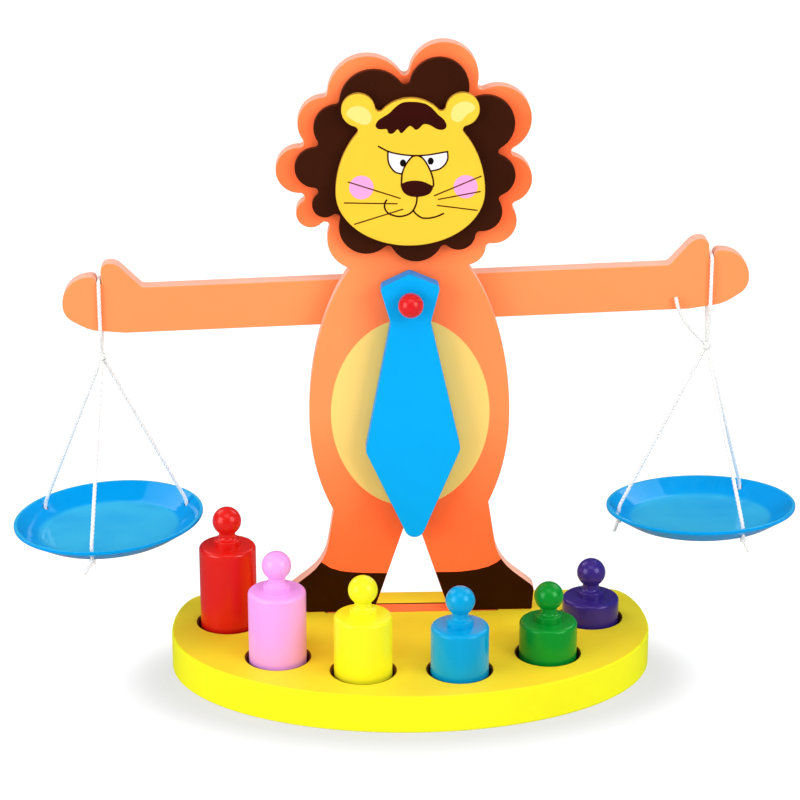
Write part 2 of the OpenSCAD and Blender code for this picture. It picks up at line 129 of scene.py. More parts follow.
def put(tree, kind, settings=None, **inputs):
    """A node with its settings, and its inputs linked or set.

    An input's name has _ for a space; i0, i1 and so on are inputs by number.
    """
    node = tree.nodes.new(kind)
    for key, value in (settings or {}).items():
        setattr(node, key, value)
    for key, value in inputs.items():
        by_number = key[0] == "i" and key[1:].isdigit()
        socket = node.inputs[int(key[1:]) if by_number else key.replace("_", " ")]
        if isinstance(value, bpy.types.NodeSocket):
            tree.links.new(value, socket)
        else:
            socket.default_value = value
    return node


def math_node(tree, operation, a, b=0.0, clamp=False):
    settings = {"operation": operation, "use_clamp": clamp}
    return put(tree, "ShaderNodeMath", settings, i0=a, i1=b).outputs[0]


def times(tree, a, b):
    return math_node(tree, "MULTIPLY", a, b)


def larger(tree, a, b):
    return math_node(tree, "MAXIMUM", a, b)


def vector_node(tree, operation, output=0, **inputs):
    return put(tree, "ShaderNodeVectorMath", {"operation": operation}, **inputs).outputs[output]


def stretched(tree, place, by):
    return vector_node(tree, "MULTIPLY", i0=place, i1=by)


def split(tree, place):
    return put(tree, "ShaderNodeSeparateXYZ", Vector=place).outputs


def mixed(tree, share, a, b):
    return put(tree, "ShaderNodeMix", {"data_type": "RGBA"}, i0=share, i6=a, i7=b).outputs[2]


def ranged(tree, value, low, high, to_low=0.0, to_high=1.0, smooth=False):
    kind = {"interpolation_type": "SMOOTHSTEP" if smooth else "LINEAR"}
    return put(tree, "ShaderNodeMapRange", kind, Value=value, From_Min=low, From_Max=high,
               To_Min=to_low, To_Max=to_high).outputs[0]


def object_place(tree):
    return tree.nodes.new("ShaderNodeTexCoord").outputs["Object"]


def noise(tree, place, scale, detail=2.0, roughness=0.5):
    return put(tree, "ShaderNodeTexNoise", Vector=place, Scale=scale, Detail=detail,
               Roughness=roughness).outputs["Fac"]


# Shader groups that the finishes share

SOCKET_KINDS = {"c": "NodeSocketColor", "f": "NodeSocketFloat", "v": "NodeSocketVector"}
SKIN = (("Colour", "c"), ("Roughness", "f"), ("Height", "f"))


def new_group(name, inputs, outputs):
    tree = bpy.data.node_groups.new(name, "ShaderNodeTree")
    for way, sockets in (("INPUT", inputs), ("OUTPUT", outputs)):
        for label, kind in sockets:
            tree.interface.new_socket(label, in_out=way, socket_type=SOCKET_KINDS[kind])
    given = tree.nodes.new("NodeGroupInput").outputs
    return tree, given, tree.nodes.new("NodeGroupOutput").inputs


def paint_film_group():
    """Rolled paint on wood: clouds in the colour, roller texture, and grain that shows through."""
    tree, given, out = new_group("paint_film", (
        ("Coat", "c"), ("Shade", "c"), ("Cloud size", "f"), ("Cloud depth", "f"),
        ("Roller size", "f"), ("Grain", "v"), ("Grain depth", "f"),
        ("Rough low", "f"), ("Rough high", "f")), SKIN)
    place = object_place(tree)
    cloud = noise(tree, place, given["Cloud size"], 3.0)
    grain = noise(tree, stretched(tree, place, given["Grain"]), 1.0, 4.0, 0.6)
    roller = noise(tree, place, given["Roller size"], 2.0)
    patch = noise(tree, place, 60.0, 3.0)
    streak = times(tree, ranged(tree, grain, 0.45, 0.75), given["Grain depth"])
    share = times(tree, ranged(tree, cloud, 0.35, 0.7), given["Cloud depth"])
    share = math_node(tree, "ADD", share, times(tree, streak, 0.35), True)
    rough = ranged(tree, patch, 0.3, 0.7, given["Rough low"], given["Rough high"])
    height = math_node(tree, "ADD", roller, times(tree, grain, given["Grain depth"]))
    tree.links.new(mixed(tree, share, given["Coat"], given["Shade"]), out["Colour"])
    tree.links.new(rough, out["Roughness"])
    tree.links.new(height, out["Height"])
    return tree


def speck_group():
    """A few pale specks of dust on dark gloss."""
    tree, given, out = new_group(
        "dust_specks", (("Colour", "c"), ("Dust", "c"), ("Spread", "f")), (("Colour", "c"),))
    cells = put(tree, "ShaderNodeTexVoronoi", Vector=object_place(tree), Scale=given["Spread"])
    spot = math_node(tree, "LESS_THAN", cells.outputs["Distance"], 0.05)
    draw = put(tree, "ShaderNodeSeparateColor", Color=cells.outputs["Color"]).outputs[0]
    rare = math_node(tree, "GREATER_THAN", draw, 0.93)
    dusty = mixed(tree, times(tree, spot, rare), given["Colour"], given["Dust"])
    tree.links.new(dusty, out["Colour"])
    return tree


def turning_group():
    """Gloss paint on turned wood: faint rings round the upright axis and soft clouds."""
    tree, given, out = new_group(
        "turned_paint", (("Coat", "c"), ("Shade", "c"), ("Ring size", "f")), SKIN)
    place = object_place(tree)
    rings = noise(tree, stretched(tree, place, (0.02, 0.02, 1.0)), given["Ring size"], 2.0)
    cloud = noise(tree, stretched(tree, place, (8.0, 8.0, 1.0)), 6.0, 2.0)
    share = times(tree, ranged(tree, cloud, 0.4, 0.7), 0.35)
    height = math_node(tree, "ADD", times(tree, rings, 0.12), noise(tree, place, 500.0))
    tree.links.new(mixed(tree, share, given["Coat"], given["Shade"]), out["Colour"])
    tree.links.new(ranged(tree, cloud, 0.3, 0.7, 0.22, 0.29), out["Roughness"])
    tree.links.new(height, out["Height"])
    return tree


def moulded_group():
    """Moulded plastic: slight flow clouds and hair scratches."""
    tree, given, out = new_group(
        "moulded_skin", (("Coat", "c"), ("Shade", "c"), ("Flow size", "f")), SKIN)
    place = object_place(tree)
    flow = noise(tree, place, given["Flow size"], 3.0)
    hair = noise(tree, stretched(tree, place, (900.0, 70.0, 70.0)), 1.0, 2.0)
    scratch = ranged(tree, hair, 0.62, 0.72)
    share = times(tree, ranged(tree, flow, 0.35, 0.7), 0.5)
    rough = ranged(tree, flow, 0.3, 0.7, 0.07, 0.11)
    rough = math_node(tree, "ADD", rough, times(tree, scratch, 0.08))
    height = math_node(tree, "ADD", flow, times(tree, scratch, -0.04))
    tree.links.new(mixed(tree, share, given["Coat"], given["Shade"]), out["Colour"])
    tree.links.new(rough, out["Roughness"])
    tree.links.new(height, out["Height"])
    return tree


def cotton_group():
    """Cotton yarn: fine fibres, with painted shade that greys the hollows between them."""
    tree, given, out = new_group(
        "cotton_yarn", (("Yarn", "c"), ("Hollow", "c"), ("Fibre size", "f")),
        (("Colour", "c"), ("Height", "f")))
    fibre = noise(tree, object_place(tree), given["Fibre size"], 4.0, 0.7)
    # Painted shade: the low parts of the fibre bump are greyer.
    share = ranged(tree, fibre, 0.35, 0.7)
    tree.links.new(mixed(tree, share, given["Hollow"], given["Yarn"]), out["Colour"])
    tree.links.new(fibre, out["Height"])
    return tree


GROUPS = {"film": paint_film_group(), "specks": speck_group(), "turned": turning_group(),
          "moulded": moulded_group(), "cotton": cotton_group()}


# Finishes

GRAIN_UP = (420.0, 420.0, 22.0)
GRAIN_ALONG = (22.0, 420.0, 420.0)
ORANGE_LIFT = 1.35
LEVEL_MARK = "level"


def new_material(name):
    material = bpy.data.materials.new(name)
    material.use_nodes = True
    tree = material.node_tree
    return material, tree, tree.nodes["Principled BSDF"]


def grouped(tree, key, **inputs):
    return put(tree, "ShaderNodeGroup", {"node_tree": GROUPS[key]}, **inputs).outputs


def bumped(tree, shader, height, strength, distance):
    bump = put(tree, "ShaderNodeBump", Height=height, Strength=strength, Distance=distance)
    tree.links.new(bump.outputs[0], shader.inputs["Normal"])


def coated(tree, shader, skin, colour, strength, distance, sheen):
    """The shader with a group's skin on it, in that colour."""
    tree.links.new(colour, shader.inputs["Base Color"])
    tree.links.new(skin["Roughness"], shader.inputs["Roughness"])
    bumped(tree, shader, skin["Height"], strength, distance)
    shader.inputs["Specular IOR Level"].default_value = sheen


def vivid(code, lift):
    """A bright toy paint, which gives back more red than a plain one: its shade stays warm."""
    red, green, blue, alpha = linear(code)
    return red * lift, green, blue, alpha


def painted(name, coat, shade, grain=GRAIN_UP, rough=(0.36, 0.46), depth=0.5, grain_depth=0.5,
            tint=None, lift=1.0):
    material, tree, shader = new_material(name)
    first = tint(tree) if tint else vivid(coat, lift)
    skin = grouped(tree, "film", Coat=first, Shade=vivid(shade, lift), Cloud_size=22.0,
                   Cloud_depth=depth, Roller_size=650.0, Grain=grain, Grain_depth=grain_depth,
                   Rough_low=rough[0], Rough_high=rough[1])
    coated(tree, shader, skin, skin["Colour"], strength=0.25, distance=0.00012, sheen=0.08)
    return material


def dark_gloss(name, coat, shade, rough):
    material, tree, shader = new_material(name)
    skin = grouped(tree, "film", Coat=linear(coat), Shade=linear(shade), Cloud_size=30.0,
                   Cloud_depth=0.6, Roller_size=520.0, Grain=GRAIN_UP, Grain_depth=0.35,
                   Rough_low=rough[0], Rough_high=rough[1])
    dusty = grouped(tree, "specks", Colour=skin["Colour"], Dust=linear("8A7A6C"), Spread=190.0)
    coated(tree, shader, skin, dusty["Colour"], strength=0.2, distance=0.00012, sheen=0.05)
    return material


def turned_gloss(name, coat, shade, mirror="FFFFFF"):
    material, tree, shader = new_material(name)
    shader.inputs["Specular Tint"].default_value = linear(mirror)
    skin = grouped(tree, "turned", Coat=linear(coat), Shade=linear(shade), Ring_size=900.0)
    coated(tree, shader, skin, skin["Colour"], strength=0.015, distance=0.00015, sheen=0.62)
    return material


def moulded_gloss(name, coat, bed, shade, sheen, mirror="FFFFFF"):
    """Plastic in its coat, with a paler colour where a mesh is marked as level: a painted
    reflection of the light on a dish's bed.
    """
    material, tree, shader = new_material(name)
    shader.inputs["Specular Tint"].default_value = linear(mirror)
    level = put(tree, "ShaderNodeAttribute", {"attribute_name": LEVEL_MARK}).outputs["Fac"]
    flat = ranged(tree, level, 0.86, 0.98, 0.0, 1.0, True)
    skin = grouped(tree, "moulded", Coat=mixed(tree, flat, linear(coat), linear(bed)),
                   Shade=linear(shade), Flow_size=35.0)
    coated(tree, shader, skin, skin["Colour"], strength=0.08, distance=0.0002, sheen=sheen)
    return material


def cotton(name):
    material, tree, shader = new_material(name)
    # Hollow is the painted shade in the yarn's hollows.
    yarn = grouped(tree, "cotton", Yarn=linear("FFFFFF"), Hollow=linear("F3F2F0"),
                   Fibre_size=2600.0)
    tree.links.new(yarn["Colour"], shader.inputs["Base Color"])
    bumped(tree, shader, yarn["Height"], strength=0.3, distance=0.0002)
    shader.inputs["Roughness"].default_value = 0.9
    shader.inputs["Sheen Weight"].default_value = 0.25
    shader.inputs["Sheen Roughness"].default_value = 0.5
    return material


def orange_with_painted_shade(tree):
    """The lion's orange: deeper towards the bottom of the legs; painted shade from the mane up and
    on the right, and a painted shadow of the tie down the centre; paler top lobes as painted
    light.
    """
    place = split(tree, object_place(tree))
    legs = ranged(tree, place["Z"], 0.124, 0.058)
    # Painted shade: deeper orange from the mane up.
    head = ranged(tree, place["Z"], 0.196, 0.226, 0.0, 0.8, True)
    # Painted light: paler again on the topmost lobes.
    painted_crown_light = ranged(tree, place["Z"], 0.262, 0.300, 0.0, 0.6, True)
    # Painted shade: deeper towards the right, away from the light.
    right = ranged(tree, place["X"], -0.04, 0.045, 0.0, 0.16, True)
    # Painted shadow of the tie: deeper near the centre line.
    off_middle = math_node(tree, "ABSOLUTE", place["X"])
    painted_tie_shadow = ranged(tree, off_middle, 0.034, 0.012, 0.0, 0.42, True)
    share = larger(tree, legs, math_node(tree, "SUBTRACT", head, painted_crown_light))
    share = math_node(tree, "ADD", share, right)
    share = math_node(tree, "ADD", share, painted_tie_shadow, True)
    return mixed(tree, share, vivid("FF9C5D", ORANGE_LIFT), vivid("FF763E", ORANGE_LIFT))


MAT = {
    # The top's deeper yellow than the sides of the same paint is painted shade.
    "base_top_painted_shade": painted("base_top_painted_shade_paint", "FFEA32", "FADA2C", GRAIN_ALONG, lift=1.04),
    "base_side": painted("base_side_paint", "FFFF1F", "FAF020", GRAIN_ALONG, grain_depth=0.35),
    # The sockets' dark brown is partly the wood's own colour and partly painted shade of the
    # hollows.
    "socket": painted("socket_wood_with_painted_shade", "7A4A12", "55300C"),
    # The lion's front carries painted shade and a painted shadow of the tie.
    "lion": painted("lion_paint", "FF9C5D", "FC8850", depth=0.15, grain_depth=0.12,
                    tint=orange_with_painted_shade, lift=ORANGE_LIFT),
    # Pale salmon on the orange boards' edges is painted light from above, given to every edge
    # face.
    "painted_light_edge": painted("painted_light_edge_paint", "FDC0A8", "F7B196", rough=(0.42, 0.52)),
    "arm": painted("arm_paint", "FF9B5E", "FC9256", GRAIN_ALONG, depth=0.3, grain_depth=0.2,
                   lift=1.2),
    "mane": dark_gloss("mane_gloss", "3C190B", "331408", (0.2, 0.3)),
    "mane_edge": dark_gloss("mane_edge_gloss", "4A1E12", "3A150C", (0.3, 0.4)),
    "face": painted("face_paint", "FDD03C", "F8C935", depth=0.35, grain_depth=0.2),
    "face_edge": painted("face_edge_paint", "DFA03C", "D2902F", rough=(0.4, 0.5)),
    "tie": painted("tie_paint", "00AFFC", "00A6F2", depth=0.4, grain_depth=0.25),
    "tie_edge": painted("tie_edge_paint", "1EA4FF", "0C94FA"),
    "belly": painted("belly_paint", "FCE07E", "F4D672", depth=0.4, grain_depth=0.2, lift=1.12),
    "boot": dark_gloss("boot_gloss", "331500", "2A1002", (0.3, 0.42)),
    "ink": dark_gloss("ink_brown", "3A0E08", "2E0B06", (0.38, 0.48)),
    "whisker": dark_gloss("ink_whisker", "5A2D06", "4A2208", (0.4, 0.5)),
    "pupil": dark_gloss("ink_black", "14100E", "0C0908", (0.3, 0.4)),
    "eye": painted("eye_white", "FDFBFF", "F4F0F6", depth=0.3),
    "cheek": painted("cheek_pink", "FFABE2", "FAA0DA", depth=0.3),
    "ear": painted("ear_cream", "FFE684", "FBDE74", depth=0.3),
    "knob": turned_gloss("knob_gloss", "E41C22", "D01018", "FFC0BC"),
    "cord": cotton("cotton_cord"),
    # The pans' paler cyan bed is a painted reflection of the light on their floors.
    "pan": moulded_gloss("pan_plastic_with_painted_light", "009EEC", "38B8E8", "0098E2", 0.24, "9CEEFF"),
    "washer": moulded_gloss("washer_plastic", "E4E2DC", "E4E2DC", "D8D5CE", 0.3),
    "weight_red": turned_gloss("weight_red_gloss", "E4180E", "D4120C", "FFC4C6"),
    "weight_pink": turned_gloss("weight_pink_gloss", "FDABFB", "F89EF4"),
    "weight_yellow": turned_gloss("weight_yellow_gloss", "FDF820", "F8EC18", "FFFFB0"),
    "weight_blue": turned_gloss("weight_blue_gloss", "00A6E0", "0298D4", "90DCFF"),
    "weight_green": turned_gloss("weight_green_gloss", "06922A", "048424", "98F8B0"),
    "weight_purple": turned_gloss("weight_purple_gloss", "3A2680", "301E6C", "CDBEFF"),
}


# Stage: floor, light and camera, in metres

FLOOR_HALF = 12.0
FLOOR_LIT = (0.7, 0.7, 0.69, 1.0)
# To the eye the floor shows only a faint share of the lamps' shade; the shadow round the base is
# painted, with this reach and this glow where it is deepest.
FLOOR_HELD_BACK = (0.15, 0.15, 0.15, 1.0)
PAINTED_SHADOW_REACH = 0.042
PAINTED_SHADOW_GLOW = 0.66
GLOSS_WHITE, GLOSS_HELD_BACK, GLOSS_DIMMED = 0.05, 0.9, 0.65
ROOM_LIGHT = (0.14, 0.5)
LAMPS = (
    # name, place, aim, width, height, watts
    ("softbox_left", (-1.24, -0.74, 0.52), (0, 0.02, 0.13), 0.95, 0.98, 12.4),
    ("softbox_right", (1.05, -0.88, 0.76), (0, 0.02, 0.13), 0.85, 0.9, 11.2),
    ("softbox_rear_left", (-1.0, 0.75, 1.15), (0, 0.02, 0.1), 0.9, 0.9, 6.0),
    ("softbox_rear_right", (1.0, 0.75, 1.15), (0, 0.02, 0.1), 0.9, 0.9, 6.0),
    ("softbox_top", (-0.05, -0.7, 1.45), (0, 0.0, 0.1), 1.0, 0.7, 3.6),
)
EYE_MM = (-49.54, -1199.98, 578.33)
EYE_AIM_MM = (-4.593, 36.5, 130.126)
HALF_FRAME_PX = 400
FOCAL_PX = 2723.95


def lay_floor():
    """White to the eye with a painted shadow round the base over a faint share of the lamps' own
    shade, and held back in the gloss of paint.
    """
    far = FLOOR_HALF
    mesh = bpy.data.meshes.new("floor")
    mesh.from_pydata([(-far, -far, 0), (far, -far, 0), (far, far, 0), (-far, far, 0)], [],
                     [(0, 1, 2, 3)])
    material, tree, shader = new_material("floor_white")
    shader.inputs["Roughness"].default_value = 0.9
    shader.inputs["Specular IOR Level"].default_value = 0.0
    shader.inputs["Emission Color"].default_value = WHITE
    rays = tree.nodes.new("ShaderNodeLightPath").outputs
    mirrored = times(tree, rays["Is Glossy Ray"], GLOSS_WHITE)
    seen = larger(tree, rays["Is Camera Ray"],
                  larger(tree, mirrored, rays["Is Transmission Ray"]))
    held_back = larger(tree, rays["Is Camera Ray"],
                       times(tree, rays["Is Glossy Ray"], GLOSS_HELD_BACK))
    colour = mixed(tree, held_back, FLOOR_LIT, FLOOR_HELD_BACK)
    tree.links.new(colour, shader.inputs["Base Color"])
    place = object_place(tree)
    base = (BASE_HALF[0] * MM, BASE_HALF[1] * MM, 1.0)
    reach = vector_node(tree, "LENGTH", "Value", i0=place)
    in_bases = vector_node(tree, "DIVIDE", i0=place, i1=base)
    in_bases = vector_node(tree, "LENGTH", "Value", i0=in_bases)
    beyond = math_node(tree, "SUBTRACT", reach, math_node(tree, "DIVIDE", reach, in_bases))
    # Painted shadow: the floor's glow to the eye is lowest at the base and full white 42 mm beyond
    # its outline.
    white = ranged(tree, beyond, 0.0, PAINTED_SHADOW_REACH, PAINTED_SHADOW_GLOW, 1.0, True)
    tree.links.new(times(tree, seen, white), shader.inputs["Emission Strength"])
    show("floor", mesh, material)


def light_room():
    """White to the eye, and otherwise a dim room that is brighter overhead."""
    world = bpy.data.worlds.new("studio")
    bpy.context.scene.world = world
    world.use_nodes = True
    tree = world.node_tree
    back = tree.nodes["Background"]
    back.inputs["Color"].default_value = WHITE
    rays = tree.nodes.new("ShaderNodeLightPath").outputs
    up = split(tree, tree.nodes.new("ShaderNodeTexCoord").outputs["Generated"])["Z"]
    room = ranged(tree, up, 0.1, 0.75, *ROOM_LIGHT, True)
    dimmed = math_node(tree, "SUBTRACT", 1.0, times(tree, rays["Is Glossy Ray"], GLOSS_DIMMED))
    direct = larger(tree, rays["Is Camera Ray"], rays["Is Transmission Ray"])
    strength = larger(tree, times(tree, room, dimmed), direct)
    tree.links.new(strength, back.inputs["Strength"])


def pointed(thing, place, aim):
    thing.location = place
    thing.rotation_euler = (Vector(aim) - Vector(place)).to_track_quat("-Z", "Y").to_euler()
    bpy.context.collection.objects.link(thing)


def set_stage():
    lay_floor()
    light_room()
    for name, place, aim, width, height, watts in LAMPS:
        light = bpy.data.lights.new(name, "AREA")
        light.shape = "RECTANGLE"
        light.size, light.size_y = width, height
        light.energy = watts
        pointed(bpy.data.objects.new(name, light), place, aim)
    camera = bpy.data.cameras.new("camera")
    camera.sensor_fit = "HORIZONTAL"
    camera.angle = 2 * math.atan(HALF_FRAME_PX / FOCAL_PX)
    camera.clip_start, camera.clip_end = 0.05, 40.0
    eye = bpy.data.objects.new("camera", camera)
    pointed(eye, mm(EYE_MM), mm(EYE_AIM_MM))
    bpy.context.scene.camera = eye
    bpy.context.scene.view_settings.view_transform = "Standard"


# Cords: three strands twisted along a route by a node tree

STRANDS = 3.0
STRAND_DEPTH = 0.12
CORE_SHARE = 0.96
LAY_LENGTH = 0.0062
TWIST_STEP = 0.0004
RING_POINTS = 18
KNOT_POINTS = 90
KNOT_RING, KNOT_SWING, KNOT_RISE, KNOT_CORD = 0.21, 0.135, 1.25, 0.32


def twisted_cord_tree():
    tree = bpy.data.node_groups.new("twisted_cord", "GeometryNodeTree")
    sockets = {}
    tree.interface.new_socket("Geometry", in_out="INPUT", socket_type="NodeSocketGeometry")
    for label in ("Radius", "Strand depth", "Lay length", "Step"):
        sockets[label] = tree.interface.new_socket(
            label, in_out="INPUT", socket_type="NodeSocketFloat").identifier
    tree.interface.new_socket("Geometry", in_out="OUTPUT", socket_type="NodeSocketGeometry")
    given = tree.nodes.new("NodeGroupInput").outputs
    route = put(tree, "GeometryNodeResampleCurve", {"mode": "LENGTH"}, Curve=given["Geometry"],
                Length=given["Step"]).outputs[0]
    along = tree.nodes.new("GeometryNodeSplineParameter").outputs["Length"]
    turns = times(tree, math_node(tree, "DIVIDE", along, given["Lay length"]), 2 * math.pi)
    route = put(tree, "GeometryNodeSetCurveTilt", Curve=route, Tilt=turns).outputs[0]
    ring = put(tree, "GeometryNodeCurvePrimitiveCircle", {"mode": "RADIUS"},
               Resolution=RING_POINTS, Radius=1.0).outputs["Curve"]
    place = tree.nodes.new("GeometryNodeInputPosition").outputs[0]
    x, y = split(tree, place)[:2]
    lobes = times(tree, math_node(tree, "ARCTAN2", y, x), STRANDS)
    lobes = times(tree, math_node(tree, "COSINE", lobes), given["Strand depth"])
    swell = times(tree, math_node(tree, "ADD", lobes, CORE_SHARE), given["Radius"])
    grown = vector_node(tree, "SCALE", Vector=place, Scale=swell)
    ring = put(tree, "GeometryNodeSetPosition", Geometry=ring, Position=grown).outputs[0]
    tube = put(tree, "GeometryNodeCurveToMesh", Curve=route, Profile_Curve=ring,
               Fill_Caps=True).outputs[0]
    tube = put(tree, "GeometryNodeSetShadeSmooth", Geometry=tube).outputs[0]
    tube = put(tree, "GeometryNodeRealizeInstances", Geometry=tube).outputs[0]
    tube = put(tree, "GeometryNodeSetMaterial", Geometry=tube, Material=MAT["cord"]).outputs[0]
    tree.links.new(tube, tree.nodes.new("NodeGroupOutput").inputs[0])
    return tree, sockets


CORD_TREE, CORD_SOCKETS = twisted_cord_tree()


def lay_cord(name, route, diameter=CORD_D, closed=False):
    """Three twisted strands along a route in millimetres."""
    curve = bpy.data.curves.new(name, "CURVE")
    curve.dimensions = "3D"
    spline = curve.splines.new("POLY")
    spline.points.add(len(route) - 1)
    for point, place in zip(spline.points, route):
        point.co = (*mm(place), 1.0)
    spline.use_cyclic_u = closed
    piece = bpy.data.objects.new(name, curve)
    bpy.context.collection.objects.link(piece)
    twist = piece.modifiers.new("twist", "NODES")
    twist.node_group = CORD_TREE
    for label, value in (("Radius", diameter / 2 * MM), ("Strand depth", STRAND_DEPTH),
                         ("Lay length", LAY_LENGTH), ("Step", TWIST_STEP)):
        twist[CORD_SOCKETS[label]] = value
    return settled(piece)


def turn(degrees, axis):
    return Matrix.Rotation(math.radians(degrees), 3, axis)


def bow(a, b, c, t):
    """A point on the curve from a to c that b draws to itself."""
    return a.lerp(b, t).lerp(b.lerp(c, t), t)


def bend_eased(points, reach):
    """The route with each corner rounded over reach millimetres to either side."""
    points = [Vector(p) for p in points]
    route = [points[0]]
    for before, here, after in zip(points, points[1:], points[2:]):
        a = here + (before - here).normalized() * min(reach, (before - here).length / 2.2)
        b = here + (after - here).normalized() * min(reach, (after - here).length / 2.2)
        route += [bow(a, here, b, t) for t in (0, 0.17, 0.33, 0.5, 0.67, 0.83, 1)]
    return route + [points[-1]]


def even(points, step):
    """The same route with points no further apart than step."""
    route = [points[0]]
    for a, b in zip(points, points[1:]):
        n = max(1, math.ceil((b - a).length / step))
        route += [a.lerp(b, (i + 1) / n) for i in range(n)]
    return route


def knot_place(side):
    return Vector(HOOK[side]) - Vector((0, 0, LOOP_DROP[side]))


def in_hole(side, angle, z):
    """A point on the axis of a pan's cord hole, z above the pan's rim."""
    a = math.radians(angle)
    pan = knot_place(side) - Vector((0, 0, STRING_DROP))
    tilt = turn(PAN_LEAN[side], "Y") @ turn(PAN_NOD[side], "X")
    return pan + tilt @ Vector((HOLE_R * math.cos(a), HOLE_R * math.sin(a), z))


def tied_knot(name, centre, diameter, tilt, body):
    """An overhand knot pulled tight: one closed run of cord through itself."""
    ring, swing = KNOT_RING * diameter, KNOT_SWING * diameter
    route = []
    for i in range(KNOT_POINTS):
        t = 2 * math.pi * i / KNOT_POINTS
        r = ring + swing * math.cos(3 * t)
        p = (r * math.cos(2 * t), r * math.sin(2 * t), KNOT_RISE * swing * math.sin(3 * t))
        route.append(Vector(centre) + tilt @ Vector(p))
    knot = lay_cord(name, route, KNOT_CORD * diameter, True)
    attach(knot, body)
    return knot


def declare_cord(cord, node, body):
    """Hang a cord on its body, and hide the node that it stands for."""
    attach(cord, body)
    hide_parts(node)


def hang_pan(side):
    """The knot under a hand and the three cords down to the pan, each with its end knot."""
    knot = knot_place(side)
    tie = tied_knot(f"tied_knot_{side}", knot, KNOT_D, turn(25, "Y") @ turn(70, "X"),
                    f"{side}_knot")
    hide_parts(f"knot_{side}")
    for i, angle in enumerate(HOLE_ANGLES[side], 1):
        above = in_hole(side, angle, HOLE_Z + CORD_D)
        stop = in_hole(side, angle, STOP_Z)
        start = knot + (above - knot).normalized() * (KNOT_D / 2 - CORD_SUNK)
        curl = Vector((*TAIL_CURL[side][i - 1], 0))
        end = in_hole(side, angle, STOP_Z - STOP_D / 2 - STOP_TAIL) + curl
        route = even(bend_eased([start, above, stop, end], STRING_EASE), STRING_STEP)
        cord = lay_cord(f"cord_{side}_{i}", route)
        tied = tied_knot(f"end_knot_{side}_{i}", stop, STOP_D,
                         turn(20 + 50 * i, "Z") @ turn(65, "X"), f"{side}_pan")
        declare_cord(cord, f"string_{side}_{i}", f"{side}_pan")


def loop_hand(side):
    """The loop over a hand, in its notch, from the knot up one face and down the other."""
    half = [(-LOOP_FOOT, KNOT_D / 2 - LOOP_SUNK - LOOP_DROP[side]),
            (-LOOP_HALF, -LOOP_LOW - LOOP_SLACK)]
    for t in (0, 30, 60, 90):
        a = math.radians(t)
        half.append((LOOP_BEND - LOOP_HALF - LOOP_BEND * math.cos(a),
                     -LOOP_BEND + LOOP_BEND * math.sin(a)))
    both = half + [(-y, z) for y, z in reversed(half)]
    corners = [Vector(HOOK[side]) + Vector((0, y, z)) for y, z in both]
    route = even(bend_eased(corners, LOOP_EASE), LOOP_STEP)
    loop = lay_cord(f"hand_loop_{side}", route)
    declare_cord(loop, f"loop_{side}", f"{side}_hanger")


def lay_tail():
    """The left-over cord at the right knot, up in front of the arm."""
    knot, bend, end = knot_place("right"), Vector(LEFT_OVER_BEND), Vector(LEFT_OVER_END)
    start = bend.normalized() * (KNOT_D / 2 - CORD_SUNK)
    steps = 24
    route = [knot + bow(start, bend, end, i / steps) for i in range(steps + 1)]
    tail = lay_cord("cord_tail_right", route)
    declare_cord(tail, "tail_right", "right_knot")


# Boards: the part's own outlines with eased, painted edges

MERGE_UNDER = 2e-6
FLAT_UNDER = math.radians(0.4)
EASE_FROM = math.radians(38)
SMOOTH_UNDER = math.radians(35)
FACE_FROM = 0.6
LEVEL_FROM = 0.97
LEVEL_SLACK = 0.5
TOP_COAT, SIDE_COAT, SOCKET_COAT = range(3)


def clean_copy(node, name):
    """A merged copy of a node's mesh, with its flat faces whole."""
    work = bmesh.new()
    work.from_mesh(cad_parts[node].data)
    bmesh.ops.remove_doubles(work, verts=work.verts, dist=MERGE_UNDER)
    bmesh.ops.dissolve_limit(work, angle_limit=FLAT_UNDER, verts=work.verts, edges=work.edges)
    work.verts.index_update()
    mesh = bpy.data.meshes.new(name)
    mesh.from_pydata([v.co.copy() for v in work.verts], [],
                     [[v.index for v in f.verts] for f in work.faces])
    work.free()
    return show(name, mesh)


def mark_edges(mesh, level):
    """Sharp edges at one height are to be eased, and the others stay sharp."""
    work = bmesh.new()
    work.from_mesh(mesh)
    weight = work.edges.layers.float.new("bevel_weight_edge")
    for edge in work.edges:
        if edge.calc_face_angle(0.0) > EASE_FROM:
            at_level = all(abs(v.co.z / MM - level) < 0.1 for v in edge.verts)
            edge[weight] = float(at_level)
            edge.smooth = at_level
    work.to_mesh(mesh)
    work.free()


def eased_board(node, name, width, coats, pick, level=None):
    """A board with its sharp edges, or those at one level, rounded by width millimetres.

    pick chooses one of the coats for each face.
    """
    piece = clean_copy(node, name)
    bevel = piece.modifiers.new("ease", "BEVEL")
    bevel.width = width * MM
    bevel.segments = 3
    bevel.limit_method = "ANGLE" if level is None else "WEIGHT"
    bevel.angle_limit = EASE_FROM
    bevel.use_clamp_overlap = False
    if level is not None:
        mark_edges(piece.data, level)
    all_smooth(piece.data)
    piece.modifiers.new("flats", "WEIGHTED_NORMAL").keep_sharp = True
    piece = settled(piece)
    for coat in coats:
        piece.data.materials.append(MAT[coat])
    for face in piece.data.polygons:
        face.material_index = pick(face.center / MM, face.normal)
    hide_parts(node)
    return piece


def by_face(centre, normal):
    return 0 if abs(normal.y) > FACE_FROM else 1


def lion_pick(centre, normal):
    return 0 if centre.z < BASE_TOP + LEVEL_SLACK else by_face(centre, normal)


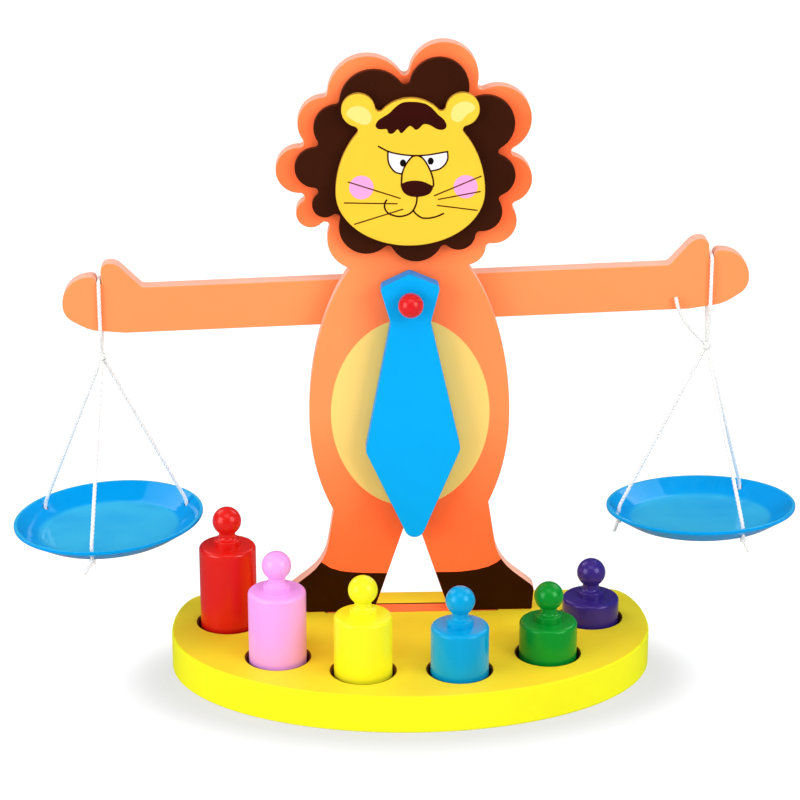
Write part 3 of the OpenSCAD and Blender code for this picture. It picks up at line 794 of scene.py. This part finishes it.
def base_pick(centre, normal):
    """Top, side or socket paint: a side wall looks outwards and lies near the rim."""
    if abs(normal.z) > LEVEL_FROM:
        if centre.z > BASE_TOP - LEVEL_SLACK:
            return TOP_COAT
        return SOCKET_COAT if centre.z > LEVEL_SLACK else SIDE_COAT
    y = centre.y - BOW_MID_Y
    outwards = centre.x * normal.x + y * normal.y > 0
    near_rim = (abs(centre.x) > RIM_X or centre.y < RIM_FRONT_Y or centre.y > RIM_BACK_Y
                or (centre.x / BOW_HALF[0]) ** 2 + (y / BOW_HALF[1]) ** 2 > RIM_SHARE)
    return SIDE_COAT if outwards and near_rim else SOCKET_COAT


BASE_COATS = ("base_top_painted_shade", "base_side", "socket")
LION_COATS = ("lion", "painted_light_edge")
BOARDS = (
    # node, piece, eased by, coats, choice of coat, level of the eased edges, body, slot
    ("base", "base_board", 0.9, BASE_COATS, base_pick, BASE_TOP, "stand", "yellow_paint"),
    ("base_plate", "bottom_plate", 0.9, BASE_COATS, base_pick, 0.0, "stand", "yellow_paint"),
    ("lion_body", "lion_board", 0.7, LION_COATS, lion_pick, None, "stand", "orange_paint"),
    ("mane", "mane_board", 0.6, ("mane", "mane_edge"), by_face, None, "stand", "brown_paint"),
    ("face", "face_board", 0.8, ("face", "face_edge"), by_face, None, "stand", "gold_paint"),
    ("arms", "arm_board", 0.6, ("arm", "painted_light_edge"), by_face, None, "beam", "orange_paint"),
    ("tie", "tie_board", 0.7, ("tie", "tie_edge"), by_face, None, "beam", "sky_paint"),
)


def make_boards():
    made = {}
    for node, name, width, coats, pick, level, body, slot in BOARDS:
        made[name] = eased_board(node, name, width, coats, pick, level)
        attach(made[name], body)
    return made


def mark_level(mesh):
    """How level the surface lies at each corner, by which a dish's bed, with its painted
    reflection, is told from its wall.
    """
    level = mesh.attributes.new(LEVEL_MARK, "FLOAT", "CORNER")
    level.data.foreach_set("value", [n.vector.z for n in mesh.corner_normals])


def smooth_copy(node, name, finish, body):
    """A turned or moulded piece in its finish, with smooth curves and sharp corners."""
    piece = clean_copy(node, name)
    mesh = piece.data
    all_smooth(mesh)
    mesh.set_sharp_from_angle(angle=SMOOTH_UNDER)
    mesh.materials.append(MAT[finish])
    if finish == "pan":
        mark_level(mesh)
    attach(piece, body)
    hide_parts(node)


# Paint and print: thin films that lie on the boards, in millimetres across and up

FILM_SUNK = 0.2
FINE_PEN = 0.62
LINE_PEN = 0.75
MOUTH_PEN = 0.78
PATCH_PROUD = 0.05
CUT_BEFORE, CUT_BEHIND = 1.0, 0.3


def curved(points, closed):
    """Points on a smooth curve through the given ones."""
    n = len(points)
    out = []
    for i in range(n if closed else n - 1):
        near = [i + k for k in (-1, 0, 1, 2)]
        near = [k % n if closed else min(max(k, 0), n - 1) for k in near]
        a, b, c, d = (Vector(points[k]) for k in near)
        for t in (0, 0.2, 0.4, 0.6, 0.8):
            out.append(0.5 * (2 * b + (c - a) * t + (2 * a - 5 * b + 4 * c - d) * t * t
                              + (3 * b - a - 3 * c + d) * t ** 3))
    return out if closed else out + [Vector(points[-1])]


def stroke(points, width):
    """Outline of a pen stroke with round ends."""
    r, last = width / 2, len(points) - 1
    headings = [(points[min(i + 1, last)] - points[max(i - 1, 0)]).normalized()
                for i in range(len(points))]
    left = [p + r * Vector((-h.y, h.x)) for p, h in zip(points, headings)]
    right = [p - r * Vector((-h.y, h.x)) for p, h in zip(points, headings)]

    def cap(p, h):
        a = math.atan2(h.y, h.x)
        return [p + r * Vector((math.cos(a + s), math.sin(a + s))) for s in (0.9, 0.3, -0.3, -0.9)]
    return left + cap(points[-1], headings[-1]) + right[::-1] + cap(points[0], -headings[0])


def disc(centre, rx, ry, n=64):
    turns = [2 * math.pi * i / n for i in range(n)]
    return [Vector((centre[0] + rx * math.cos(t), centre[1] + ry * math.sin(t))) for t in turns]


def slabs(name, outlines, near_y, far_y, up=0.0):
    """Closed upright slabs between two depths."""
    work = bmesh.new()
    for outline in outlines:
        near, far = ([work.verts.new((p[0] * MM, y * MM, (p[1] + up) * MM)) for p in outline]
                     for y in (near_y, far_y))
        work.faces.new(near)
        work.faces.new(far[::-1])
        for i in range(len(near)):
            k = (i + 1) % len(near)
            work.faces.new((near[i], far[i], far[k], near[k]))
    bmesh.ops.recalc_face_normals(work, faces=work.faces)
    mesh = bpy.data.meshes.new(name)
    work.to_mesh(mesh)
    work.free()
    return mesh


def film(name, outlines, front, proud, finish, up=0.0):
    """A film of paint on the front of one of the stand's boards."""
    piece = show(name, slabs(name, outlines, front - proud, front + FILM_SUNK, up), MAT[finish])
    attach(piece, "stand")


FORELOCK = [
    (-16.2, 32.4), (-15.2, 34.5), (-13.5, 35.8), (-11.4, 37.1), (-9.4, 38.5), (-7.7, 40.3),
    (-6.2, 41.6), (-4.5, 42.7), (-2.5, 43.3), (0.1, 43.4), (2.7, 43.3), (5.0, 42.9), (7.1, 42.3),
    (9.4, 40.8), (11.1, 39.1), (12.9, 37.1), (14.6, 35.7), (15.9, 34.2), (16.7, 32.2),
    (16.2, 30.7), (14.8, 30.0), (13.2, 30.1), (11.8, 30.6), (10.0, 31.7), (8.3, 32.5), (6.8, 32.8),
    (5.6, 32.4), (4.2, 31.0), (3.0, 30.2), (2.0, 30.3), (1.0, 31.3), (-0.2, 32.0), (-1.3, 31.3),
    (-2.8, 29.7), (-3.9, 28.7), (-4.8, 28.8), (-5.4, 29.9), (-6.0, 30.4), (-6.7, 29.9),
    (-7.8, 28.7), (-9.3, 28.3), (-10.3, 28.8), (-10.7, 29.9), (-11.2, 30.6), (-12.6, 30.5),
    (-14.4, 30.5), (-15.5, 31.0)]
EARS = [
    [(-29.6, 38.6), (-27.6, 40.9), (-24.1, 41.6), (-20.7, 40.5), (-18.4, 37.8), (-18.1, 35.2),
     (-19.5, 33.1), (-21.8, 32.7), (-24.8, 33.8), (-27.6, 35.6), (-29.4, 37.0)],
    [(29.9, 40.7), (28.4, 42.4), (25.2, 43.4), (21.8, 42.4), (19.5, 40.2), (18.7, 37.2),
     (19.2, 34.9), (21.6, 33.6), (23.9, 34.5), (26.2, 37.2), (29.1, 38.9)]]
BROW = [
    (-14.9, 22.4), (-12.8, 21.2), (-10.5, 20.0), (-7.4, 19.0), (-3.5, 18.3), (-0.1, 17.9),
    (2.8, 17.8), (6.3, 17.9), (9.8, 18.3), (13.3, 18.9), (17.2, 19.6)]
EYE_LEFT = [
    (-10.5, 19.7), (-10.5, 16.4), (-10.1, 14.3), (-9.1, 12.2), (-7.4, 10.2), (-5.6, 9.4),
    (-4.2, 9.1)]
EYE_RIGHT = [
    (17.2, 19.4), (17.4, 17.0), (17.1, 15.3), (15.9, 13.2), (13.9, 11.5), (11.6, 10.7),
    (9.6, 10.4)]
BRIDGE = [
    (-4.2, 3.2), (-4.2, 4.6), (-4.1, 6.7), (-3.9, 9.1), (-3.3, 11.2), (-2.2, 13.5), (-0.9, 15.4),
    (0.5, 17.0), (1.9, 17.7), (3.1, 17.8), (4.9, 17.1), (6.3, 15.8), (7.8, 13.5), (8.9, 11.3),
    (9.8, 9.0), (10.5, 6.6), (10.8, 4.2), (10.7, 3.1)]
NOSE = [
    (-4.2, 4.2), (-2.4, 5.1), (-0.4, 5.6), (2.0, 5.8), (4.3, 5.6), (6.6, 5.0), (8.7, 4.0),
    (10.5, 3.0), (10.6, 2.4), (10.0, 0.9), (9.0, -0.5), (7.3, -1.4), (5.2, -1.9), (2.9, -2.1),
    (0.2, -1.8), (-1.8, -1.0), (-3.3, 0.4), (-4.1, 1.9), (-4.4, 3.3)]
MOUTH = [
    [(3.1, -2.0), (3.0, -3.9), (2.5, -6.0), (1.3, -8.6), (-0.6, -10.3), (-3.0, -11.2),
     (-5.6, -11.5), (-7.9, -11.0), (-10.0, -10.1), (-11.3, -8.9), (-12.1, -7.1), (-12.0, -5.3),
     (-11.6, -4.2), (-11.1, -3.5)],
    [(1.3, -8.6), (2.3, -10.0), (3.8, -11.3), (5.5, -12.3), (7.6, -12.5), (9.9, -12.3),
     (12.6, -11.6), (15.5, -10.3)]]
WHISKERS = [
    [(-29.0, 5.4), (-4.8, -2.7)], [(-30.9, -4.7), (-6.3, -5.3)], [(-26.2, -15.1), (-3.6, -8.0)],
    [(11.2, -1.6), (33.0, 7.6)], [(13.1, -3.4), (32.6, 0.2)], [(12.6, -6.3), (31.3, -8.9)]]
CHEEKS = [disc((-22.9, 2.7), 5.7, 5.7), disc((25.8, 2.6), 5.6, 5.6)]
PUPILS = [disc((-3.5, 14.3), 1.45, 1.75, 40), disc((9.4, 15.1), 1.4, 1.7, 40)]
BELLY = disc((0.4, 123.25), 38.4, 48.45, 144)
BOOT_LINE = [
    (75, BASE_TOP + 0.1), (75, 62), (50, 51.5), (45.6, 46.3), (43.4, 44.2), (39.2, 42.0),
    (33.6, 40.5), (26.2, 39.5), (20.0, 39.3), (12.2, 39.4), (-9.4, 39.2), (-19.6, 39.4),
    (-28.3, 39.9), (-33.9, 40.7), (-38.7, 42.3), (-44.0, 46.0), (-50, 51.5), (-75, 62),
    (-75, BASE_TOP + 0.1)]


def vectors(points):
    return [Vector(p) for p in points]


def print_face():
    def pen(lines, width):
        return [stroke(curved(line, False) if len(line) > 2 else vectors(line), width)
                for line in lines]

    left = curved(EYE_LEFT, False) + vectors(BRIDGE[3:8]) + vectors(BROW[5:1:-1])
    right = curved(EYE_RIGHT, False) + vectors(BRIDGE[13:9:-1]) + vectors(BROW[7:])
    films = (
        # name, outlines, how far it stands proud, finish
        ("inner_ears", [curved(e, True) for e in EARS], 0.04, "ear"),
        ("cheeks", CHEEKS, 0.04, "cheek"),
        ("eye_whites", [left, right], 0.04, "eye"),
        ("pupils", PUPILS, 0.07, "pupil"),
        ("forelock", [curved(FORELOCK, True)], 0.06, "ink"),
        ("eye_lines", pen([BROW, EYE_LEFT, EYE_RIGHT], LINE_PEN), 0.08, "ink"),
        ("nose_line", pen([BRIDGE], LINE_PEN), 0.1, "ink"),
        ("nose", [curved(NOSE, True)], 0.12, "ink"),
        ("mouth", pen(MOUTH, MOUTH_PEN), 0.08, "ink"),
        ("whiskers", pen(WHISKERS, FINE_PEN), 0.06, "whisker"),
    )
    for name, outlines, proud, finish in films:
        film(name, outlines, FACE_FRONT, proud, finish, CHEEK_Z)


def paint_lion(lion):
    """The belly patch, and the boots: the lion's front below a line, laid on as a film."""
    film("belly_patch", [BELLY], LION_FRONT, PATCH_PROUD, "belly")
    cutter = show("boot_cutter", slabs("boot_cutter", [vectors(BOOT_LINE)],
                                       LION_FRONT - CUT_BEFORE, LION_FRONT + CUT_BEHIND))
    boots = show("boot_paint", lion.data.copy())
    cut = boots.modifiers.new("cut", "BOOLEAN")
    cut.operation = "INTERSECT"
    cut.solver = "EXACT"
    cut.object = cutter
    boots = settled(boots)
    bpy.data.objects.remove(cutter)
    mesh = boots.data
    mesh.transform(Matrix.Translation((0, -PATCH_PROUD * MM, 0)))
    mesh.materials.clear()
    mesh.materials.append(MAT["boot"])
    mesh.polygons.foreach_set("material_index", [0] * len(mesh.polygons))
    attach(boots, "stand")


set_stage()
for side in SIDES:
    hang_pan(side)
    loop_hand(side)
lay_tail()
boards = make_boards()
print_face()
paint_lion(boards["lion_board"])
smooth_copy("pivot_peg", "turned_peg", "knob", "beam")
for place in ("front", "rear"):
    smooth_copy(f"{place}_washer", f"washer_{place}", "washer", "beam")
for side in SIDES:
    smooth_copy(f"pan_{side}", f"dish_{side}", "pan", f"{side}_pan")
for colour in WEIGHTS:
    smooth_copy(f"weight_{colour}", f"turned_weight_{colour}", f"weight_{colour}",
                f"{colour}_weight")
